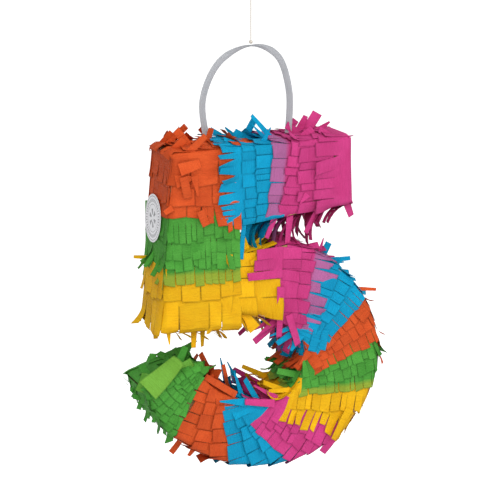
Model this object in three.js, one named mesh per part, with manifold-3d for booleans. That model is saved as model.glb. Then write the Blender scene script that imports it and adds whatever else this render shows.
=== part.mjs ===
// A number-five pinata: a hollow cardboard digit covered in fringed tissue bands,
// hung from a ribbon loop and a thread. Millimetres, +Z up, +X to the right and -Y
// to the front. The origin is the top of the thread's tied loop, where a hook holds it.

import * as THREE from 'three';
import { mergeVertices } from 'three/addons/utils/BufferGeometryUtils.js';
import Module from 'manifold-3d';

const wasm = await Module();
wasm.setup();

// ---- Driving dimensions, in millimetres and degrees ----

// The digit's outline is laid out from the middle of its bowl: x to the right, z up.
const bowlLong = 146;             // long radius of the bowl's outer edge
const bowlShort = 128.5;          // short radius of the bowl's outer edge
const bowlTilt = -22;             // how far the bowl's long axis dips to the right
const eyeLong = 63;               // long radius of the hole in the bowl
const eyeShort = 49.5;            // short radius of the hole in the bowl
const eyeX = -10;                 // middle of the hole
const eyeZ = -4;
const eyePower = 2.7;             // above 2, the hole is squarer than an ellipse
const bellyCrest = 32;            // x at which the belly's straight top meets the arc
const bellyDip = 7;               // how much lower the belly's top starts at the notch
const notchGap = 34;              // height of the notch between the bar and the belly
const barHeight = 84;             // from the notch up to the top-left corner
const barLength = 210;            // top edge of the bar
const barRise = 7;                // how much higher the bar's right end stands
const barUnderRise = 15;          // how far the bar's underside climbs to the right
const barEndLean = 2;             // how far the bar's end leans out at its foot
const stemWidth = 89;             // width of the stem at its foot
const notchX = -29;               // wall between the stem and the notch
const stemLean = 14;              // how far the left wall leans in towards its top
const stemFoot = 41;              // height of the stem's foot over the bowl's middle
const stemFootDrop = 5;           // how far the foot falls away to the right
const tailEnd = -23;              // height of the tail's left corner
const tailReach = 132;            // how far left that corner lies
const tailSlope = 17;             // slope of the tail's end

// The box
const boxDepth = 69;              // front to back, outside the cardboard
const board = 3;                  // thickness of the cardboard
const touch = 0.3;                // gap kept between pieces that are glued together
const tissue = 3;                 // depth of the fringed tissue on the box

// The fill flap in the back of the stem
const flapWidth = 54;
const flapHeight = 46;
const flapClearance = 1;          // round the flap
const flapInset = 12;             // from the left wall to the flap
const flapRise = 7;               // from the end of the green fringe up to the flap

// The ribbon, tied through the bar's top
const ribbonWidth = 7.5;
const ribbonThickness = 0.8;
const ribbonHeight = 104;         // from the bar's top to the loop's highest point
const ribbonLeft = 52;            // from the hanging line to the left leg
const ribbonRight = 45;           // from the hanging line to the right leg
const ribbonPinch = 2.6;          // width where the thread pulls the ribbon together
const ribbonBulge = 5;            // how far the legs bow out
const slotClearance = 0.5;        // round the ribbon in its slots
const knotSize = 9;               // knot under the bar's top
const tiltLift = 0.5;             // the axis that the box tilts on, over the bar's tissue
const ribbonEndGap = 0.1;         // between that axis and the loop's ends

// The thread, tied round the ribbon and ending in a loop
const threadDiameter = 1.2;
const threadLength = 52;          // between the knot on the ribbon and the tied loop
const threadKnot = 4.4;           // knot round the ribbon
const swingGap = 0.8;             // under the tied loop, so that the thread can swing
const loopRadius = 6;             // middle of the tied loop's thread

// The round label on the left wall
const labelDiameter = 54;
const labelThickness = 0.4;
const labelHeight = 158;          // its middle, over the bowl's middle
const labelBack = 10;             // its middle, behind the box's middle

// The line under the hook that the whole pinata balances on
const hangX = 0;

const arcSteps = 40;              // points on a whole round of the bowl
const roundSides = 8;             // sides of a thread

const colours = {
  pink: '#cb4384', blue: '#04a0c8', orange: '#d45828', green: '#54a042', yellow: '#e9b912',
  card: '#b08a5c', ribbon: '#b2b3b7', thread: '#f1efe9', label: '#eceae6',
};

// ---- Plane geometry in the digit's own x and z ----

const radians = THREE.MathUtils.degToRad;
const point = (x, z) => new THREE.Vector2(x, z);

// A line from a to b, moved outwards by grow: outlines run clockwise, so out is to the left.
function line(a, b, grow) {
  const along = b.clone().sub(a).normalize();
  const out = point(-along.y, along.x).multiplyScalar(grow);
  return { from: a.clone().add(out), along };
}

function crossing(first, second) {
  const between = second.from.clone().sub(first.from);
  const reach = between.cross(second.along) / first.along.cross(second.along);
  return first.from.clone().addScaledVector(first.along, reach);
}

// A tilted round edge, squarer than an ellipse where power is above 2.
function roundEdge(centre, long, short, power) {
  const turn = radians(bowlTilt);
  const share = (value) => Math.sign(value) * Math.abs(value) ** (2 / power);
  return (angle) => point(long * share(Math.cos(angle)), short * share(Math.sin(angle)))
    .rotateAround(point(0, 0), turn).add(centre);
}

// The angle at which a round edge crosses a line, between two angles on either side of it.
function angleWhere(edge, cut, low, high) {
  const side = (angle) => edge(angle).sub(cut.from).cross(cut.along);
  let [a, b] = [low, high];
  for (let step = 0; step < 50; step += 1) {
    const middle = (a + b) / 2;
    if (side(a) * side(middle) <= 0) b = middle;
    else a = middle;
  }
  return (a + b) / 2;
}

function arcPoints(edge, from, to) {
  const steps = Math.max(2, Math.ceil(Math.abs(to - from) / (2 * Math.PI) * arcSteps));
  return Array.from({ length: steps + 1 }, (_, i) => edge(from + (to - from) * i / steps));
}

// ---- The digit's outline, as nine sides, moved out by grow or in by a negative grow ----

const bowlMiddle = point(0, 0);
const eyeMiddle = point(eyeX, eyeZ);
const bowlEdge = roundEdge(bowlMiddle, bowlLong, bowlShort, 2);
const verticalAt = (x) => ({ from: point(x, 0), along: point(0, 1) });
const crestAngle = angleWhere(bowlEdge, verticalAt(bellyCrest), radians(45), radians(150));
const crest = bowlEdge(crestAngle);

const notchFoot = point(notchX, crest.y - bellyDip);
const notchTop = point(notchX, notchFoot.y + notchGap);
const stemCorner = point(notchX - stemWidth, stemFoot);
const topLeft = point(stemCorner.x + stemLean, notchTop.y + barHeight);
const topRight = point(topLeft.x + barLength, topLeft.y + barRise);
const barFoot = point(topRight.x + barEndLean, notchTop.y + barUnderRise);
const tailCorner = point(-tailReach, tailEnd);
const tailInner = tailCorner.clone().add(point(Math.cos(radians(tailSlope)), Math.sin(radians(tailSlope))));
const stemInner = point(eyeX, stemFoot - stemFootDrop);

function outlineSides(grow) {
  const edge = roundEdge(bowlMiddle, bowlLong + grow, bowlShort + grow, 2);
  const eye = roundEdge(eyeMiddle, eyeLong - grow, eyeShort - grow, eyePower);
  const top = line(topLeft, topRight, grow);
  const barEnd = line(topRight, barFoot, grow);
  const under = line(barFoot, notchTop, grow);
  const notch = line(notchTop, notchFoot, grow);
  const belly = line(notchFoot, crest, grow);
  const tail = line(tailCorner, tailInner, grow);
  const foot = line(stemInner, stemCorner, grow);
  const left = line(stemCorner, topLeft, grow);
  const bellyMeets = angleWhere(edge, belly, crestAngle - 0.35, crestAngle + 0.12);
  const tailMeets = angleWhere(edge, tail, radians(-200), radians(-120));
  const eyeStart = angleWhere(eye, tail, radians(-200), radians(-120));
  const eyeEnd = angleWhere(eye, foot, radians(90), radians(190));
  const corners = [
    crossing(left, top), crossing(top, barEnd), crossing(barEnd, under), crossing(under, notch),
    crossing(notch, belly),
  ];
  const footCorner = crossing(foot, left);
  return {
    top_wall: [corners[0], corners[1]],
    bar_end_wall: [corners[1], corners[2]],
    bar_under_wall: [corners[2], corners[3]],
    notch_wall: [corners[3], corners[4]],
    bowl_wall: [corners[4], ...arcPoints(edge, bellyMeets, tailMeets)],
    tail_end_wall: [edge(tailMeets), eye(eyeStart)],
    eye_wall: arcPoints(eye, eyeStart, eyeEnd),
    stem_foot_wall: [eye(eyeEnd), footCorner],
    left_wall: [footCorner, corners[0]],
  };
}

const outline = (grow) => Object.values(outlineSides(grow)).flatMap((side) => side.slice(0, -1));

// ---- Solids ----

// A flat shape in x and z, from the depth front to the depth back. Outlines and holes are
// both given clockwise, so a hole is turned round.
function prism(points, front, back, holes = []) {
  const shape = new THREE.Shape(points);
  shape.holes = holes.map((hole) => new THREE.Path([...hole].reverse()));
  const geometry = new THREE.ExtrudeGeometry(shape, { depth: back - front, bevelEnabled: false });
  geometry.rotateX(Math.PI / 2);
  geometry.translate(0, back, 0);
  return geometry;
}

function rectangle(low, high) {
  return [point(low.x, low.y), point(low.x, high.y), point(high.x, high.y), point(high.x, low.y)];
}

function toSolid(geometry) {
  const bare = geometry.clone();
  bare.deleteAttribute('normal');
  bare.deleteAttribute('uv');
  const merged = mergeVertices(bare, 1e-4);
  return new wasm.Manifold(new wasm.Mesh({
    numProp: 3,
    vertProperties: new Float32Array(merged.attributes.position.array),
    triVerts: new Uint32Array(merged.index.array),
  }));
}

function toGeometry(solid) {
  const mesh = solid.getMesh();
  const geometry = new THREE.BufferGeometry();
  geometry.setAttribute('position', new THREE.BufferAttribute(mesh.vertProperties, 3));
  geometry.setIndex(new THREE.BufferAttribute(mesh.triVerts, 1));
  geometry.computeVertexNormals();
  return geometry;
}

const pinata = new THREE.Group();
const digit = new THREE.Group();

function piece(name, geometry, colour, roughness, parent = digit) {
  const material = new THREE.MeshStandardMaterial({ color: colours[colour], roughness, metalness: 0 });
  const mesh = new THREE.Mesh(geometry, material);
  mesh.name = name;
  parent.add(mesh);
  return mesh;
}

const halfDepth = boxDepth / 2;
const tissueHalf = halfDepth + tissue;

// ---- Places that more than one piece follows ----

// Where the fringe ends on the bar, as x, and on the stem, as z.
const notchMiddle = notchFoot.y + notchGap / 2;
const pinkToBlue = 14;
const blueToOrange = notchX + 1;
const orangeToGreen = notchTop.y + 11;
const greenToYellow = notchFoot.y - 16;

// The fill flap, in the green fringe on the back of the stem: its lowest and highest corners.
const flapLow = point(topLeft.x + flapInset, greenToYellow + flapRise);
const flapHigh = flapLow.clone().add(point(flapWidth, flapHeight));
const spread = (low, high, by) => rectangle(low.clone().subScalar(by), high.clone().addScalar(by));

// The ribbon's two legs, where they leave the tissue on the bar's top.
const topSlope = Math.atan2(barRise, barLength);
const topTissue = (x) => topLeft.y + (x - topLeft.x) * Math.tan(topSlope) + tissue / Math.cos(topSlope);
const legs = {
  left: point(hangX - ribbonLeft, topTissue(hangX - ribbonLeft)),
  right: point(hangX + ribbonRight, topTissue(hangX + ribbonRight)),
};

// ---- The cardboard box ----

const flapHole = spread(flapLow, flapHigh, flapClearance);
piece('front_panel', prism(outline(0), -halfDepth, -halfDepth + board), 'card', 0.9);
piece('back_panel', prism(outline(0), halfDepth - board, halfDepth, [flapHole]), 'card', 0.9);

// A strip of cardboard on edge, along one side of the outline, mitred to its neighbours.
function wall(name) {
  const trim = (side) => {
    const ends = side.map((p) => p.clone());
    const last = ends.length - 1;
    ends[0].addScaledVector(ends[1].clone().sub(ends[0]).normalize(), touch);
    ends[last].addScaledVector(ends[last - 1].clone().sub(ends[last]).normalize(), touch);
    return ends;
  };
  const outside = trim(outlineSides(0)[name]);
  const inside = trim(outlineSides(-board)[name]);
  return prism([...outside, ...inside.reverse()], -halfDepth + board + touch, halfDepth - board - touch);
}

// A slot that lets a ribbon leg through the bar's top.
function ribbonSlot(leg) {
  const low = point(leg.x - ribbonWidth / 2 - slotClearance, leg.y - knotSize - tissue - board);
  const high = point(leg.x + ribbonWidth / 2 + slotClearance, leg.y + tissue);
  const half = ribbonThickness / 2 + slotClearance;
  return toSolid(prism(rectangle(low, high), -half, half));
}

const slots = ribbonSlot(legs.left).add(ribbonSlot(legs.right));

for (const name of Object.keys(outlineSides(0))) {
  const solid = toSolid(wall(name));
  piece(name, toGeometry(name === 'top_wall' ? solid.subtract(slots) : solid), 'card', 0.9);
}

// ---- The tissue: one sleeve of fringe for each colour, along the digit's stroke ----

const farOut = 2 * (bowlLong + barLength);

// Round the bowl each band's fringe ends on a line from the eye to the outer edge: the
// angles of the line's two ends, seen from the eye's middle.
const bowlBands = [
  { name: 'yellow_foot_band', colour: 'yellow', inner: 64, outer: 88 },
  { name: 'pink_belly_band', colour: 'pink', inner: 38, outer: 60 },
  { name: 'blue_belly_band', colour: 'blue', inner: 5, outer: 25 },
  { name: 'orange_bowl_band', colour: 'orange', inner: -22, outer: 2 },
  { name: 'green_bowl_band', colour: 'green', inner: -50, outer: -19 },
  { name: 'yellow_bowl_band', colour: 'yellow', inner: -69, outer: -47 },
  { name: 'pink_bowl_band', colour: 'pink', inner: -97, outer: -73 },
  { name: 'blue_bowl_band', colour: 'blue', inner: -136, outer: -107 },
  { name: 'orange_tail_band', colour: 'orange', inner: -174, outer: -140 },
  { name: 'green_tail_band', colour: 'green', inner: -215, outer: -185 },
];

// The line on which a bowl band ends, run on past both edges of the tissue.
function bandLine({ inner, outer }) {
  const from = (angle, radius) => point(Math.cos(radians(angle)), Math.sin(radians(angle)))
    .multiplyScalar(radius).add(eyeMiddle);
  const a = from(inner, (eyeLong + eyeShort) / 2);
  const b = from(outer, bowlShort);
  const along = b.clone().sub(a).normalize();
  return { inside: a.clone().addScaledVector(along, -eyeShort / 3), outside: a.clone().addScaledVector(along, farOut) };
}

const box = (left, low, right, high) => rectangle(point(left, low), point(right, high));
const bands = [
  { name: 'pink_bar_band', colour: 'pink', zone: box(pinkToBlue, notchMiddle, farOut, farOut) },
  { name: 'blue_bar_band', colour: 'blue', zone: box(blueToOrange, notchTop.y - tissue - touch, pinkToBlue, farOut) },
  { name: 'orange_corner_band', colour: 'orange', zone: box(-farOut, orangeToGreen, blueToOrange, farOut) },
  { name: 'green_stem_band', colour: 'green', zone: box(-farOut, greenToYellow, notchX + tissue + touch, farOut) },
];
let previous = null;
for (const band of bowlBands) {
  const ends = bandLine(band);
  const zone = previous
    ? [previous.inside, previous.outside, ends.outside, ends.inside]
    : [point(ends.outside.x, farOut), ends.outside, ends.inside, point(ends.inside.x, 0), point(-farOut, 0), point(-farOut, farOut)];
  bands.push({ ...band, zone });
  previous = ends;
}

// The fringe all over the digit, as a skin with the box left out of it.
const skin = toSolid(prism(outline(tissue), -tissueHalf, tissueHalf))
  .subtract(toSolid(prism(outline(touch), -halfDepth - touch, halfDepth + touch)));

// A zone with a rim of the given width round it, whichever way round its points run.
function zoneSolid(points, rim) {
  const sharp = THREE.ShapeUtils.isClockWise(points) ? points : [...points].reverse();
  const sides = sharp.map((p, i) => line(p, sharp[(i + 1) % sharp.length], rim));
  const corners = sides.map((side, i) => crossing(sides[(i + sides.length - 1) % sides.length], side));
  return toSolid(prism(corners, -tissueHalf - 1, tissueHalf + 1));
}

// The flat sheets that close the bar's end and the tail's end lie outside the bands.
function endSheet(from, to) {
  const past = line(from, to, touch);
  const outer = line(from, to, 2 * tissue);
  const wide = (base, reach) => base.from.clone().addScaledVector(base.along, reach);
  const span = from.distanceTo(to) + 2 * tissue;
  return [wide(past, -2 * tissue), wide(outer, -2 * tissue), wide(outer, span), wide(past, span)];
}

let left = skin;
const takeBand = (name, colour, zone, extra = null) => {
  let solid = left.intersect(zoneSolid(zone, 0));
  if (extra) solid = solid.subtract(extra);
  left = left.subtract(zoneSolid(zone, touch));
  piece(name, toGeometry(solid), colour, 0.85);
};

const sides = outlineSides(0);
takeBand('pink_end_sheet', 'pink', endSheet(...sides.bar_end_wall));
takeBand('green_end_sheet', 'green', endSheet(...sides.tail_end_wall));

const flapPassage = toSolid(prism(flapHole, halfDepth - board, tissueHalf + 1));
for (const { name, colour, zone } of bands) {
  takeBand(name, colour, zone, slots.add(flapPassage));
}

// ---- The fill flap, with its own patch of fringe ----

piece('fill_flap', prism(rectangle(flapLow, flapHigh), halfDepth - board, halfDepth), 'card', 0.9);
piece('flap_fringe', prism(rectangle(flapLow, flapHigh), halfDepth + touch, tissueHalf), 'green', 0.85);

// ---- The ribbon ----

// The loop is a flat arch in x and z, widest on its shoulders and pinched by the thread.
const apex = point(hangX, (legs.left.y + legs.right.y) / 2 + ribbonHeight);
function ribbonLoop() {
  const footOf = (leg) => point(leg.x, leg.y + tiltLift + ribbonEndGap);
  const [start, end] = [footOf(legs.left), footOf(legs.right)];
  const rise = apex.y - start.y;
  const path = new THREE.SplineCurve([
    start,
    point(start.x - ribbonBulge, start.y + 0.45 * rise),
    point(start.x + 0.28 * ribbonLeft, start.y + 0.84 * rise),
    apex,
    point(end.x - 0.28 * ribbonRight, start.y + 0.84 * rise),
    point(end.x + ribbonBulge / 4, start.y + 0.45 * rise),
    end,
  ]);
  const steps = 36;
  const edgePoints = (side) => Array.from({ length: steps + 1 }, (_, i) => {
    const at = path.getPoint(i / steps);
    const tangent = path.getTangent(i / steps);
    const fromApex = Math.abs(i / steps - 0.5);
    const width = THREE.MathUtils.lerp(ribbonPinch, ribbonWidth, Math.min(1, fromApex / 0.12));
    return at.add(point(-tangent.y, tangent.x).multiplyScalar(side * width / 2));
  });
  return [...edgePoints(1), ...edgePoints(-1).reverse()];
}

piece('ribbon_loop', prism(ribbonLoop(), -ribbonThickness / 2, ribbonThickness / 2), 'ribbon', 0.45);

// Below its slot each leg ends in a knot that can't pull through the cardboard.
function ribbonTail(leg) {
  const under = leg.y - tissue / Math.cos(topSlope) - board / Math.cos(topSlope);
  const lift = ribbonWidth * Math.tan(topSlope);
  const low = point(leg.x - ribbonWidth / 2, under - lift - touch - knotSize / 2);
  const high = point(leg.x + ribbonWidth / 2, leg.y - lift);
  const tail = toSolid(prism(rectangle(low, high), -ribbonThickness / 2, ribbonThickness / 2));
  const knot = new THREE.SphereGeometry(knotSize / 2, 12, 8);
  knot.scale(1.2, 1, 0.8);
  knot.translate(leg.x, 0, low.y);
  return toGeometry(tail.add(toSolid(knot)));
}

piece('ribbon_tail_left', ribbonTail(legs.left), 'ribbon', 0.45);
piece('ribbon_tail_right', ribbonTail(legs.right), 'ribbon', 0.45);

// ---- The label on the left wall ----

const label = new THREE.CylinderGeometry(labelDiameter / 2, labelDiameter / 2, labelThickness, 40);
const wallLean = Math.atan2(topLeft.x - stemCorner.x, topLeft.y - stemCorner.y);
const labelOut = tissue + touch + labelThickness / 2;
const labelSpot = crossing(line(stemCorner, topLeft, labelOut), { from: point(0, labelHeight), along: point(1, 0) });
const labelMesh = piece('round_label', label, 'label', 0.6);
labelMesh.position.set(labelSpot.x, labelBack, labelSpot.y);
labelMesh.rotation.set(0, wallLean, Math.PI / 2);

// ---- The thread, from the knot on the ribbon up to its tied loop ----

const knotTop = apex.y + ribbonPinch / 2 + threadKnot;
const knotBall = new THREE.SphereGeometry(threadKnot / 2, 12, 8);
knotBall.translate(apex.x, 0, apex.y + ribbonPinch / 2 + touch + threadKnot / 2);
piece('thread_knot', knotBall, 'thread', 0.8);

const threadFoot = knotTop + 2 * touch;
const threadTop = threadFoot + threadLength;
const circle = new THREE.Shape(Array.from({ length: roundSides }, (_, i) => {
  const angle = 2 * Math.PI * i / roundSides;
  return point(Math.cos(angle), Math.sin(angle)).multiplyScalar(threadDiameter / 2);
}));
const threadPath = new THREE.LineCurve3(
  new THREE.Vector3(apex.x, 0, threadFoot),
  new THREE.Vector3(apex.x, 0, threadTop),
);
const thread = new THREE.ExtrudeGeometry(circle, { steps: 12, extrudePath: threadPath });
piece('hanging_thread', thread, 'thread', 0.8);

const ring = Array.from({ length: roundSides + 1 }, (_, i) => {
  const angle = 2 * Math.PI * (i % roundSides) / roundSides;
  return point(loopRadius + Math.cos(angle) * threadDiameter / 2, Math.sin(angle) * threadDiameter / 2);
});
const loop = piece('thread_loop', new THREE.LatheGeometry(ring, 28), 'thread', 0.8);
loop.position.set(apex.x, 0, threadTop + swingGap + loopRadius + threadDiameter / 2);

// ---- The whole pinata, hung with its balance line under the hook ----

const hookHeight = loop.position.z + loopRadius - threadDiameter / 2;
digit.position.set(-hangX, 0, -hookHeight);
pinata.add(digit);

export default pinata;
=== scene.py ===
import math
import random

import bmesh
import bpy
from mathutils import Matrix, Quaternion, Vector


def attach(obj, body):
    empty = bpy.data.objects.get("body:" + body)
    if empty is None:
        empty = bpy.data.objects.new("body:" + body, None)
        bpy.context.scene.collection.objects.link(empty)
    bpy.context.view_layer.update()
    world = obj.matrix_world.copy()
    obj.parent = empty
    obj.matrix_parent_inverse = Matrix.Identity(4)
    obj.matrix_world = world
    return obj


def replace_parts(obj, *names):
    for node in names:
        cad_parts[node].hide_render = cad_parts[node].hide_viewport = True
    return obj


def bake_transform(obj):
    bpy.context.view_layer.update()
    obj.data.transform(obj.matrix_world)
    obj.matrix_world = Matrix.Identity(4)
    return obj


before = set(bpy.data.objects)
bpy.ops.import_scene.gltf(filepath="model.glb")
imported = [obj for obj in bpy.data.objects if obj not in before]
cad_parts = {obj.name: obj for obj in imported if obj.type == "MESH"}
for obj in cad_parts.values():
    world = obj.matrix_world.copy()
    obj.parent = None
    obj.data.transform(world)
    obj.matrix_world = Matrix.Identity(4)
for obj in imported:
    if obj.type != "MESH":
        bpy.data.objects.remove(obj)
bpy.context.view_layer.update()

# ---- The studio ----
# A pale floor and a white dome, with soft light from in front, above and below. A long
# lens looks slightly down at the digit from its left.
aim = Vector((-0.001, 0, -0.35017))
back = Vector((math.sin(math.radians(-21.5)) * math.cos(math.radians(13.5)),
               -math.cos(math.radians(-21.5)) * math.cos(math.radians(13.5)),
               math.sin(math.radians(13.5))))
right = Vector((0, 0, 1)).cross(back).normalized()
aim += 0.0456 * back.cross(right)
camera = bpy.data.objects.new("camera", bpy.data.cameras.new("camera"))
camera.data.lens = 126.3
camera.data.sensor_width = 36
camera.location = aim + 2.0 * back
camera.rotation_euler = back.to_track_quat("Z", "Y").to_euler()
camera.data.clip_end = 100
bpy.context.collection.objects.link(camera)
bpy.context.scene.camera = camera

scene = bpy.context.scene
scene.view_settings.view_transform = "Standard"
scene.world = bpy.data.worlds.new("studio")
scene.world.use_nodes = True
scene.world.node_tree.nodes["Background"].inputs["Color"].default_value = (1, 1, 1, 1)
scene.world.node_tree.nodes["Background"].inputs["Strength"].default_value = 0.52


def add_light(name, at, size, power):
    light = bpy.data.objects.new(name, bpy.data.lights.new(name, "AREA"))
    light.data.size = size
    light.data.energy = power
    light.location = at
    light.rotation_euler = (Vector(at) - aim).to_track_quat("Z", "Y").to_euler()
    bpy.context.collection.objects.link(light)


add_light("key_light", (-1.0, -2.4, 1.2), 1.6, 44)
add_light("fill_light", (1.8, -2.0, 0.5), 1.6, 19)
add_light("top_light", (0.0, -0.2, 2.0), 1.5, 14)
add_light("low_light", (-0.3, -2.2, -0.8), 1.2, 17)


class Wire:
    """A socket whose value goes on through Math nodes when it is used in a sum."""

    def __init__(self, tree, socket):
        self.tree, self.socket = tree, socket

    def math(self, operation, *others, flip=False):
        node = self.tree.nodes.new("ShaderNodeMath")
        node.operation = operation
        values = [self, *others][::-1] if flip else [self, *others]
        for socket, value in zip(node.inputs, values):
            if isinstance(value, Wire):
                self.tree.links.new(value.socket, socket)
            else:
                socket.default_value = value
        return Wire(self.tree, node.outputs[0])

    def __add__(self, other):
        return self.math("ADD", other)

    def __radd__(self, other):
        return self.math("ADD", other)

    def __sub__(self, other):
        return self.math("SUBTRACT", other)

    def __rsub__(self, other):
        return self.math("SUBTRACT", other, flip=True)

    def __mul__(self, other):
        return self.math("MULTIPLY", other)

    def __rmul__(self, other):
        return self.math("MULTIPLY", other)

    def __truediv__(self, other):
        return self.math("DIVIDE", other)

    def __gt__(self, other):
        return self.math("GREATER_THAN", other)

    def __lt__(self, other):
        return self.math("LESS_THAN", other)


class Finish:
    """A material that is put together node by node round one Principled shader."""

    def __init__(self, name, **fixed):
        self.material = bpy.data.materials.new(name)
        self.material.use_nodes = True
        self.tree = self.material.node_tree
        self.shader = self.tree.nodes["Principled BSDF"]
        for socket, value in fixed.items():
            self.shader.inputs[socket.replace("_", " ")].default_value = value

    def node(self, kind, inputs=None, output=0, **settings):
        node = self.tree.nodes.new("ShaderNode" + kind)
        for name, value in settings.items():
            setattr(node, name, value)
        for name, value in (inputs or {}).items():
            if isinstance(value, Wire):
                self.tree.links.new(value.socket, node.inputs[name])
            else:
                node.inputs[name].default_value = value
        return Wire(self.tree, node.outputs[output])

    def ramp(self, value, stops):
        ramp = self.tree.nodes.new("ShaderNodeValToRGB")
        for stop in stops[2:]:
            ramp.color_ramp.elements.new(stop[0])
        for element, (place, shade) in zip(ramp.color_ramp.elements, stops):
            element.position, element.color = place, (shade, shade, shade, 1)
        self.tree.links.new(value.socket, ramp.inputs[0])
        return Wire(self.tree, ramp.outputs["Color"])

    def noise(self, vector, scale, detail=2.0, roughness=0.5):
        return self.node("TexNoise", {"Vector": vector, "Scale": scale, "Detail": detail,
                                      "Roughness": roughness})

    def mix(self, share, first, second, blend="MIX"):
        return self.node("Mix", {0: share, 6: first, 7: second}, output=2, data_type="RGBA", blend_type=blend)

    def shade(self, colour, by):
        grey = self.node("CombineColor", {"Red": by, "Green": by, "Blue": by})
        return self.mix(1.0, colour, grey, "MULTIPLY")

    def put(self, socket, wire):
        self.tree.links.new(wire.socket, self.shader.inputs[socket])

    def bump(self, height, depth, strength=1.0):
        self.put("Normal", self.node("Bump", {"Height": height, "Distance": depth, "Strength": strength}))


def rgb(red, green, blue):
    """A colour from its 0 to 255 screen values, as the shader wants it."""
    return tuple(c / 255 / 12.92 if c <= 10 else ((c / 255 + 0.055) / 1.055) ** 2.4
                 for c in (red, green, blue)) + (1,)


def studio_piece(name, shape, glow, **fixed):
    """A glowing white surface behind or under the object, which is no part of it."""
    data = bpy.data.meshes.new(name)
    shape.to_mesh(data)
    shape.free()
    piece = bpy.data.objects.new(name, data)
    bpy.context.collection.objects.link(piece)
    glowing = Finish("studio_" + name, Roughness=1.0, Emission_Color=(1, 1, 1, 1),
                     Emission_Strength=glow, **fixed)
    data.materials.append(glowing.material)
    piece.visible_diffuse = False
    return piece


floor_mesh = bmesh.new()
bmesh.ops.create_grid(floor_mesh, x_segments=1, y_segments=1, size=30)
bmesh.ops.translate(floor_mesh, verts=floor_mesh.verts, vec=(0, 0, -0.95))
studio_piece("floor", floor_mesh, 0.7, Base_Color=(0.9, 0.9, 0.9, 1))

dome_mesh = bmesh.new()
bmesh.ops.create_icosphere(dome_mesh, subdivisions=4, radius=28)
bmesh.ops.reverse_faces(dome_mesh, faces=dome_mesh.faces)
dome = studio_piece("backdrop", dome_mesh, 1.0)
dome.visible_glossy = dome.visible_shadow = False

# ---- The hanging thread ----
# Off-white cotton thread, two plies twisted together, pulled straight by the weight.
# It is knotted round the ribbon at its foot and tied in a small loop at its top.
thread_foot, thread_top, thread_size = -0.0648, -0.0128, 0.0012

line = bpy.data.curves.new("hanging_cord", "CURVE")
line.dimensions = "3D"
spline = line.splines.new("POLY")
spline.points.add(15)
for i, spot in enumerate(spline.points):
    spot.co = (0, 0, thread_foot + (thread_top - thread_foot) * i / 15, 1)
line.bevel_depth = thread_size / 2
line.bevel_resolution = 3
line.use_fill_caps = True
hanging_cord = bpy.data.objects.new("hanging_cord", line)
bpy.context.collection.objects.link(hanging_cord)

cotton = Finish("cotton_thread", Roughness=0.85)
spot = cotton.node("TexCoord", output=3)
plies = cotton.node("TexWave", {"Vector": spot, "Scale": 260.0, "Distortion": 0.6}, output=1,
                    bands_direction="DIAGONAL")
fuzz = cotton.noise(spot, 4000.0, 3.0)
cotton.put("Base Color", cotton.mix(plies * 0.7 + fuzz * 0.3, rgb(172, 162, 148), rgb(226, 220, 210)))
cotton.bump(plies + fuzz * 0.4, 0.0002)
line.materials.append(cotton.material)
for name in ("thread_loop", "thread_knot"):
    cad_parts[name].data.materials.clear()
    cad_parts[name].data.materials.append(cotton.material)
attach(hanging_cord, "thread")
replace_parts(hanging_cord, "hanging_thread")

# ---- The ribbon ----
# Silver-grey satin ribbon, 7.5 mm wide, whose ends go through slots in the bar's top and
# are knotted inside. The thread's knot gathers it at the top of its arch.
ribbon_width, ribbon_pinch = 0.0075, 0.0022
left_leg, right_leg = Vector((-0.052, 0, -0.17672)), Vector((0.045, 0, -0.17348))
arch_top = Vector((0, 0, -0.0711))
rise = arch_top.z - left_leg.z
arch = [
    left_leg + Vector((0.0004, 0, -0.006)), left_leg, left_leg + Vector((-0.005, 0, 0.45 * rise)),
    left_leg + Vector((0.0146, 0, 0.84 * rise)), arch_top, right_leg + Vector((-0.0126, 0, 0.84 * rise)),
    right_leg + Vector((0.00125, 0, 0.45 * rise)), right_leg, right_leg + Vector((0, 0, -0.006)),
]


def along(points, share):
    """The place at a share of the way along a smooth line through the points, and its direction."""
    at = min(max(share, 0.0), 0.99999) * (len(points) - 1)
    k = int(at)
    t = at - k
    p = [points[min(max(k + i, 0), len(points) - 1)] for i in (-1, 0, 1, 2)]
    place = 0.5 * (2 * p[1] + (p[2] - p[0]) * t + (2 * p[0] - 5 * p[1] + 4 * p[2] - p[3]) * t ** 2
                   + (3 * p[1] - p[0] - 3 * p[2] + p[3]) * t ** 3)
    run = ((p[2] - p[0]) + 2 * (2 * p[0] - 5 * p[1] + 4 * p[2] - p[3]) * t
           + 3 * (3 * p[1] - p[0] - 3 * p[2] + p[3]) * t ** 2)
    return place, run.normalized()


def finish_mesh(name, shape, material, thickness=None):
    """A new piece from a bmesh, with one material and perhaps the thickness of its sheet."""
    data = bpy.data.meshes.new(name)
    shape.to_mesh(data)
    shape.free()
    data.materials.append(material)
    data.polygons.foreach_set("use_smooth", [True] * len(data.polygons))
    piece = bpy.data.objects.new(name, data)
    bpy.context.collection.objects.link(piece)
    if thickness:
        wall = piece.modifiers.new("thickness", "SOLIDIFY")
        wall.thickness, wall.offset = thickness, 0
        piece.modifiers.new("flat_sides", "WEIGHTED_NORMAL")
    return piece


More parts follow.
